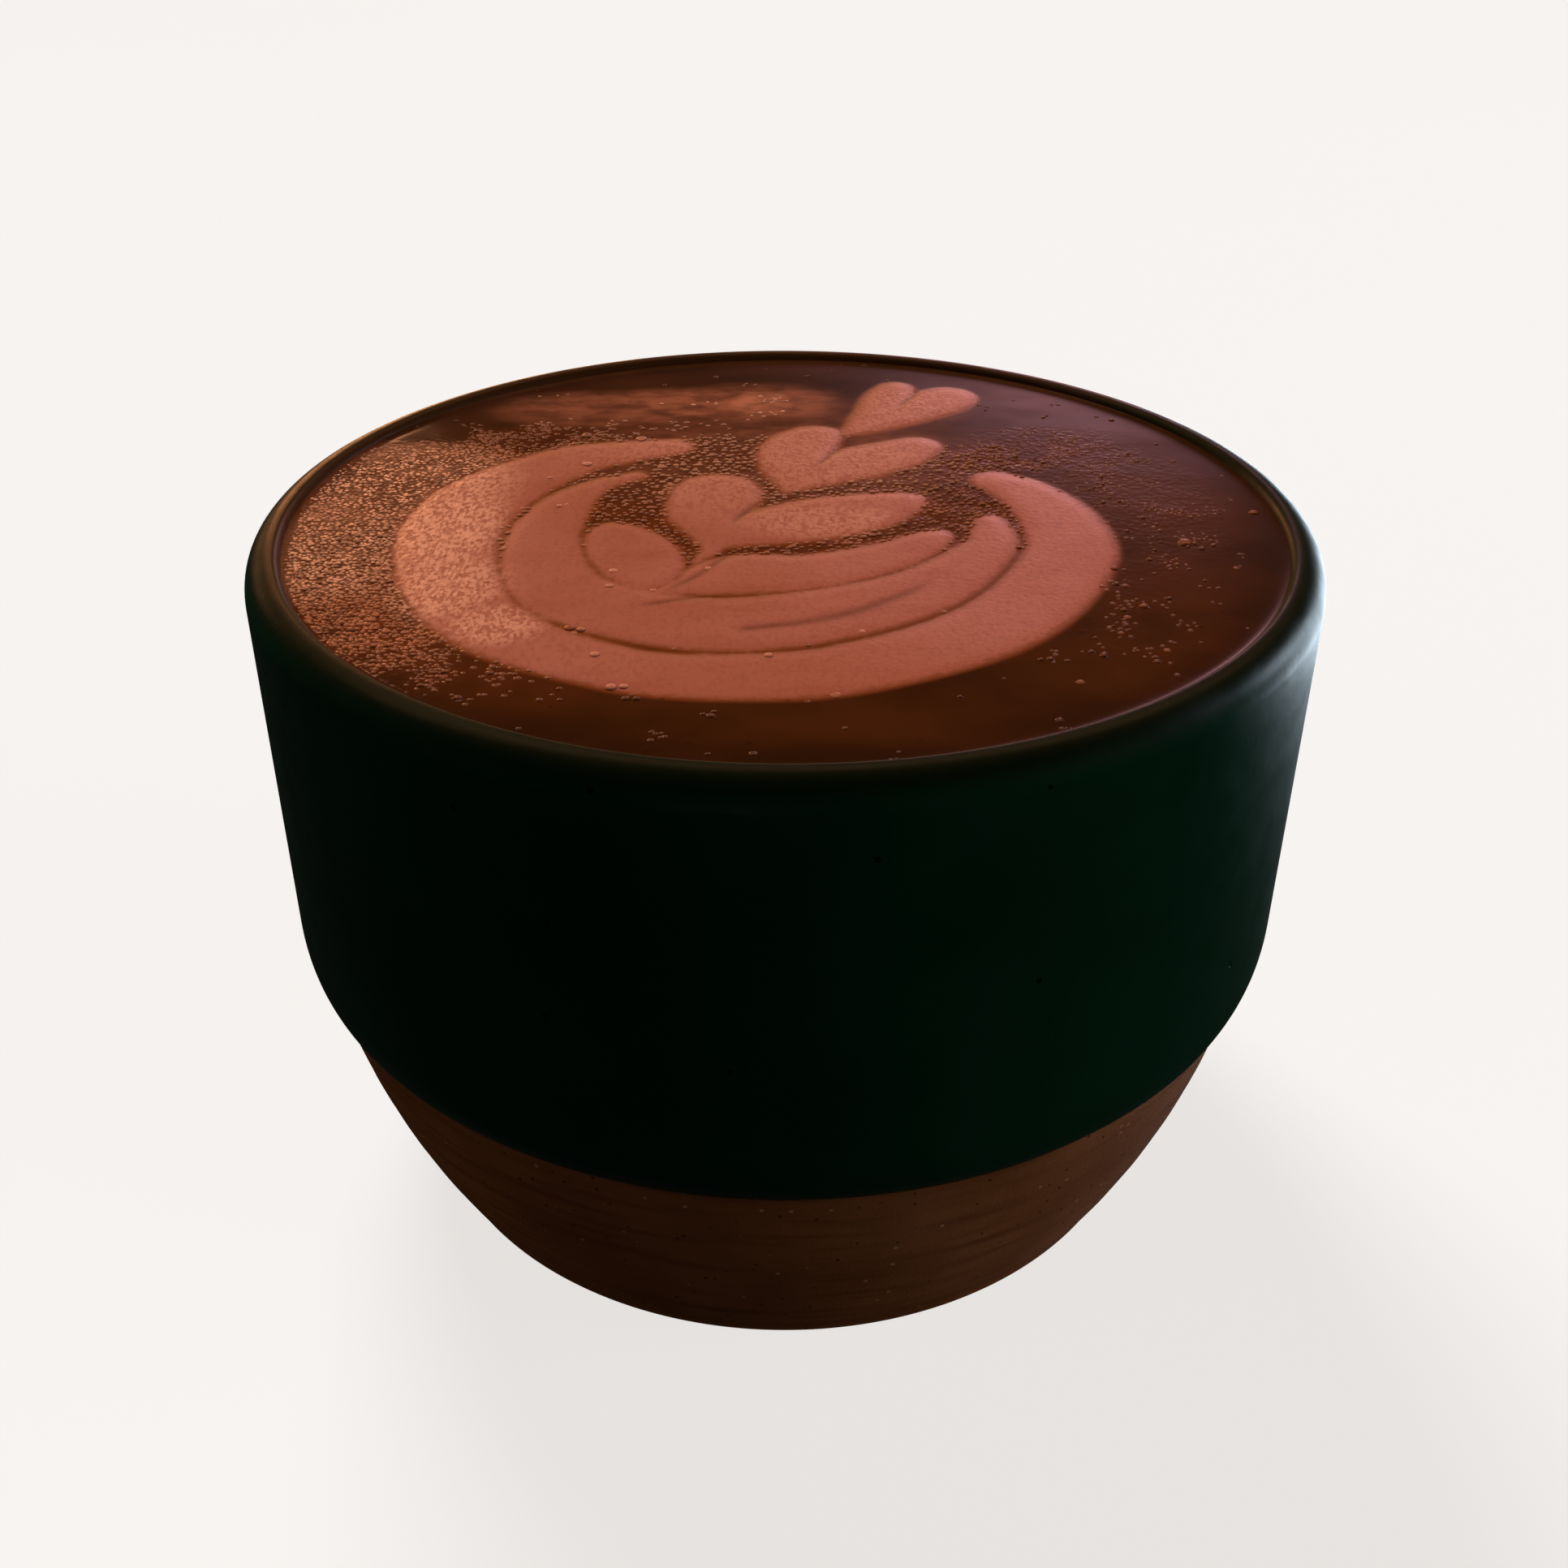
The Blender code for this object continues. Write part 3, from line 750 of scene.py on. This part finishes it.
def raw_clay():
    clay = Finish("raw_clay")
    clouds = clay.noise(9 * MM, 5.0)
    colour = clay.blend(clay.ramp(clouds, 0.25, 0.75), tint(118, 72, 40), tint(138, 88, 54))
    bands = clay.noise(14 * MM, 3.0, (1, 1, 12))
    colour = clay.blend(clay.ramp(bands, 0.45, 0.8), colour, tint(108, 64, 36))
    dark_grains = clay.ramp(clay.cells(1.7 * MM), 0.06, 0.13)
    colour = clay.blend(dark_grains, tint(62, 34, 18), colour)
    pale_grains = clay.ramp(clay.cells(2.3 * MM), 0.05, 0.10)
    colour = clay.blend(pale_grains, tint(176, 132, 96), colour)
    sand = clay.bump(clay.noise(0.35 * MM, 4.0), 0.035 * MM)
    grains = clay.bump(dark_grains, 0.02 * MM, sand)
    rough = clay.ramp(clouds, 0.2, 0.8, 0.78, 0.92)
    return clay.set(Base_Color=colour, Roughness=rough, Normal=grains, Specular_IOR_Level=0.25)


def crema_colour(finish, foam, froth, painted_sheen):
    """Dark brown crema, lighter beside the milk and where it froths, darkest along the wall, with a
    painted sheen in light streaks and painted shade between frothy bubbles.
    """
    clouds = finish.noise(7 * MM, 4.0, (0.5, 1, 1))
    colour = finish.blend(finish.ramp(clouds, 0.3, 0.72), tint(50, 22, 3), tint(68, 30, 8))
    colour = finish.blend(finish.times(froth, 0.72), colour, tint(112, 48, 15))
    beside = finish.ramp(foam, -0.9, -0.1)
    colour = finish.blend(finish.times(beside, 0.85), colour, tint(130, 59, 24))
    # painted sheen: light streaks on the crema where the sheen is painted, away from the froth
    streaks = finish.ramp(finish.noise(1.5 * MM, 6.0, (0.5, 0.8, 1)), 0.30, 0.70, 0.35, 1.10)
    clear = finish.times(painted_sheen, finish.ramp(froth, 0.2, 0.9, 1.0, 0.1))
    colour = finish.blend(finish.times(clear, streaks), colour, tint(188, 104, 72))
    # painted shade: the ground between frothy bubbles is painted dark where the sheen is painted
    shaded = finish.times(froth, finish.times(painted_sheen, 0.75))
    colour = finish.blend(shaded, colour, tint(66, 27, 7))
    along_wall = finish.ramp(finish.reach(), CREST_RADIUS - 5.0 * MM, CREST_RADIUS - 1.0 * MM, 0.0, 0.35)
    colour = finish.blend(along_wall, colour, tint(30, 12, 3))
    pits = finish.ramp(finish.cells(2.6 * MM), 0.05, 0.10, 0.35, 0.0)
    return finish.blend(pits, colour, tint(24, 9, 2))


def foam_colour(finish, foam, fold, painted_sheen):
    """Milk foam tinted by the drink, browner at its edges and along its folds, with a painted sheen of
    light flecks.
    """
    clouds = finish.noise(12 * MM, 3.0)
    colour = finish.blend(finish.ramp(clouds, 0.3, 0.7), tint(163, 84, 61), tint(170, 92, 72))
    wisps = finish.noise(3.2 * MM, 4.0, (0.35, 1, 1))
    colour = finish.blend(finish.ramp(wisps, 0.45, 0.85, 0.0, 0.6), colour, tint(146, 72, 50))
    # painted sheen: light flecks where the sheen is painted, in place of glints
    grain = finish.noise(0.34 * MM, 3.0, (1, 0.5, 1))
    sheen_flecks = finish.times(painted_sheen, finish.ramp(grain, 0.40, 0.60, 1.0, 0.2))
    colour = finish.blend(sheen_flecks, colour, tint(214, 138, 108))
    colour = finish.blend(finish.ramp(grain, 0.45, 0.7, 0.0, 0.45), colour, tint(140, 68, 48))
    rim = finish.ramp(foam, 0.8, 0.0)
    colour = finish.blend(finish.times(rim, 0.35), colour, tint(136, 66, 44))
    return finish.blend(finish.times(fold, 0.8), colour, tint(112, 54, 32))


def crema_and_foam():
    drink = Finish("crema_and_milk_foam")
    foam = drink.painted("foam")
    froth = drink.painted("froth")
    fold = drink.painted("fold")
    painted_sheen = drink.painted("painted_sheen")
    ragged = drink.ramp(drink.noise(0.8 * MM, 3.0), 0.0, 1.0, -0.35, 0.35)
    milk = drink.ramp(drink.plus(foam, ragged), -0.30, 0.38)
    top = foam_colour(drink, foam, fold, painted_sheen)
    colour = drink.blend(milk, crema_colour(drink, foam, froth, painted_sheen), top)
    coffee = drink.minus(1.0, milk)
    cells = drink.ramp(drink.cells(0.55 * MM, "SMOOTH_F1"), 0.0, 0.7, 1.0, 0.0)
    beads = drink.times(cells, drink.times(coffee, froth))
    grainy = drink.times(milk, drink.ramp(painted_sheen, 0.0, 1.0, 0.5, 2.0))
    grain = drink.times(drink.noise(0.5 * MM, 3.0), grainy)
    beaded = drink.bump(beads, 0.022 * MM, drink.bump(grain, 0.06 * MM))
    smooth = drink.ramp(foam, -0.8, 0.1, 0.10, 0.32)
    dull = drink.times(drink.times(coffee, froth), drink.times(painted_sheen, 0.45))
    rough = drink.plus(smooth, dull)
    return drink.set(Base_Color=colour, Roughness=rough, Normal=beaded, Specular_IOR_Level=0.12)


def bubble_skin():
    skin = Finish("bubble_skin")
    foam = skin.painted("foam")
    froth = skin.painted("froth")
    painted_sheen = skin.painted("painted_sheen")
    dense = skin.times(froth, froth)
    coffee = skin.blend(dense, crema_colour(skin, foam, froth, painted_sheen), tint(150, 76, 42))
    # painted sheen: bubbles where the sheen is painted are painted light
    coffee = skin.blend(painted_sheen, coffee, tint(240, 162, 122))
    # painted shade: dark patches through the painted sheen, for the shaded sides of rows of bubbles
    shade_mottle = skin.ramp(skin.noise(0.7 * MM, 2.0, (0.6, 0.6, 1)), 0.40, 0.60, 0.88, 0.0)
    coffee = skin.blend(skin.times(shade_mottle, painted_sheen), coffee, tint(84, 35, 9))
    # painted shade and highlight: each dome is painted dark towards its foot and lighter at its crown, as
    # if lit from above
    edge = skin.ramp(skin.painted("top"), 0.2, 0.9, 0.85, 0.0)
    on_milk = skin.ramp(foam, -0.3, 0.3)
    crown = skin.blend(on_milk, coffee, tint(190, 112, 84))
    foot = skin.blend(on_milk, tint(66, 27, 7), tint(122, 58, 36))
    colour = skin.blend(edge, crown, foot)
    rough = skin.ramp(skin.noise(0.5 * MM, 2.0), 0.2, 0.8, 0.26, 0.34)
    return skin.set(Base_Color=colour, Roughness=rough, Specular_IOR_Level=0.25)


def pale_floor():
    """A light grey sheet that glows a little, so that shadows on it stay soft."""
    floor = Finish("pale_floor")
    clouds = floor.noise(0.4, 2.0)
    colour = floor.blend(floor.ramp(clouds, 0.3, 0.7), tint(118, 121, 124), tint(121, 124, 127))
    return floor.set(Base_Color=colour, Roughness=1.0, Specular_IOR_Level=0.0,
                     Emission_Color=tint(247, 243, 240), Emission_Strength=FLOOR_GLOW)


# --------------------------------------------------------------------- floor, light and camera
def make_floor():
    deselect_all()
    bpy.ops.mesh.primitive_plane_add(size=FLOOR_SIZE, location=(0, 0, -FLOOR_DROP))
    floor = bpy.context.object
    floor.name = "floor"
    floor.data.materials.append(pale_floor())
    floor.visible_glossy = False
    floor.visible_diffuse = False


def towards(azimuth, elevation):
    """A direction, from +Y towards +X and up."""
    turn, rise = math.radians(azimuth), math.radians(elevation)
    return Vector((math.sin(turn) * math.cos(rise), math.cos(turn) * math.cos(rise), math.sin(rise)))


def lamp(name, kind, azimuth, elevation, distance, size, power, colour):
    """A lamp that faces the drink, seen from it at an azimuth and elevation in degrees."""
    away = towards(azimuth, elevation)
    data = bpy.data.lights.new(name, kind)
    data.energy = power
    data.color = colour
    if kind == "SUN":
        data.angle = size
    else:
        data.shape = "RECTANGLE"
        data.size, data.size_y = size
    item = bpy.data.objects.new(name, data)
    item.location = Vector((0, 0, DRINK_LEVEL)) + away * distance
    item.rotation_euler = away.to_track_quat("Z", "Y").to_euler()
    bpy.context.scene.collection.objects.link(item)
    return item


def dim_room():
    """A dim room with a soft glow low behind the cup."""
    room = bpy.data.worlds.new("dim_room")
    room.use_nodes = True
    nodes, links = room.node_tree.nodes, room.node_tree.links
    place = nodes.new("ShaderNodeTexCoord")
    near = nodes.new("ShaderNodeVectorMath")
    near.operation = "DOT_PRODUCT"
    near.inputs[1].default_value = towards(*GLOW_FROM)
    links.new(place.outputs["Generated"], near.inputs[0])
    power = nodes.new("ShaderNodeMath")
    power.operation = "POWER"
    power.use_clamp = True
    power.inputs[1].default_value = GLOW_FOCUS
    links.new(near.outputs["Value"], power.inputs[0])
    mix = nodes.new("ShaderNodeMix")
    mix.data_type = "RGBA"
    mix.inputs[6].default_value = ROOM_COLOUR
    mix.inputs[7].default_value = GLOW_COLOUR
    links.new(power.outputs[0], mix.inputs[0])
    links.new(mix.outputs[2], nodes["Background"].inputs["Color"])
    room.cycles_visibility.diffuse = False
    return room


def make_lights():
    """Lamps that light the pieces, then lamps and windows seen only as gleams on them.

    Each has its azimuth and elevation in degrees, distance, size, power and colour.
    """
    lit = (
        lamp("overhead", "SUN", -22, 44, 2.0, math.radians(25), 3.4, (1.0, 0.92, 0.86)),
        lamp("right_fill", "AREA", 105, 14, 1.2, (0.8, 0.8), 6.0, (1.0, 0.93, 0.88)),
        lamp("left_fill", "AREA", -110, 8, 1.2, (0.8, 0.8), 2.0, (1.0, 0.85, 0.7)),
    )
    for item in lit:
        item.visible_glossy = False
    gleams = (
        lamp("high_window", "AREA", -10, 58, 1.0, (1.6, 0.4), 6.0, (1.0, 0.46, 0.24)),
        lamp("warm_lamp", "AREA", -15.8, 21.6, 1.0, (0.10, 0.03), 0.07, (1.0, 0.40, 0.20)),
        lamp("warm_side", "AREA", -38, 8, 1.0, (0.3, 0.2), 0.35, (1.0, 0.46, 0.22)),
        lamp("warm_back", "AREA", -21, 10, 1.0, (0.20, 0.12), 1.2, (1.0, 0.38, 0.15)),
        lamp("warm_low", "AREA", -14, -4, 0.6, (0.16, 0.06), 0.25, (1.0, 0.50, 0.18)),
        lamp("back_strip", "AREA", 0, 11, 1.0, (0.50, 0.06), 0.3, (1.0, 0.50, 0.20)),
        lamp("cool_window", "AREA", 64, 5, 1.0, (0.35, 0.25), 4.0, (0.72, 0.87, 1.0)),
        lamp("cool_table", "AREA", 45, -14, 0.25, (0.24, 0.10), 0.5, (0.72, 0.87, 1.0)),
    )
    for item in gleams:
        item.visible_diffuse = False
        item.visible_camera = False
    bpy.context.scene.world = dim_room()
    bpy.context.scene.view_settings.view_transform = "Standard"


def make_camera():
    deselect_all()
    target = Vector((0, 0, CUP_HEIGHT / 2))
    away = Vector((0, -math.cos(VIEW_ELEVATION), math.sin(VIEW_ELEVATION)))
    tilt = Matrix.Rotation(math.pi / 2 - VIEW_ELEVATION, 3, "X") @ Matrix.Rotation(VIEW_ROLL, 3, "Z")
    bpy.ops.object.camera_add(location=target + away * VIEW_DISTANCE, rotation=tilt.to_euler())
    camera = bpy.context.object
    camera.data.lens = LENS
    camera.data.shift_x = SHIFT_X
    camera.data.shift_y = SHIFT_Y
    camera.data.clip_start = NEAREST_SEEN
    bpy.context.scene.camera = camera


# -------------------------------------------------------------------------- putting it together
def place_piece(piece, finish, slot, *nodes):
    piece.data.materials.clear()
    piece.data.materials.append(finish)
    if nodes:
        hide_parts(*nodes)
    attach(piece, BODY)


def main():
    make_camera()
    make_floor()
    make_lights()
    place_piece(make_clay_body(), raw_clay(), "raw_clay", "cup")
    place_piece(make_glaze_coat(), satin_green_glaze(), "glaze", "cup")
    place_piece(make_drink(), crema_and_foam(), "drink", "mocha")
    skin = bubble_skin()
    for bubbles in make_bubbles():
        place_piece(bubbles, skin, "drink")
    deselect_all()


main()
bpy.context.view_layer.update()
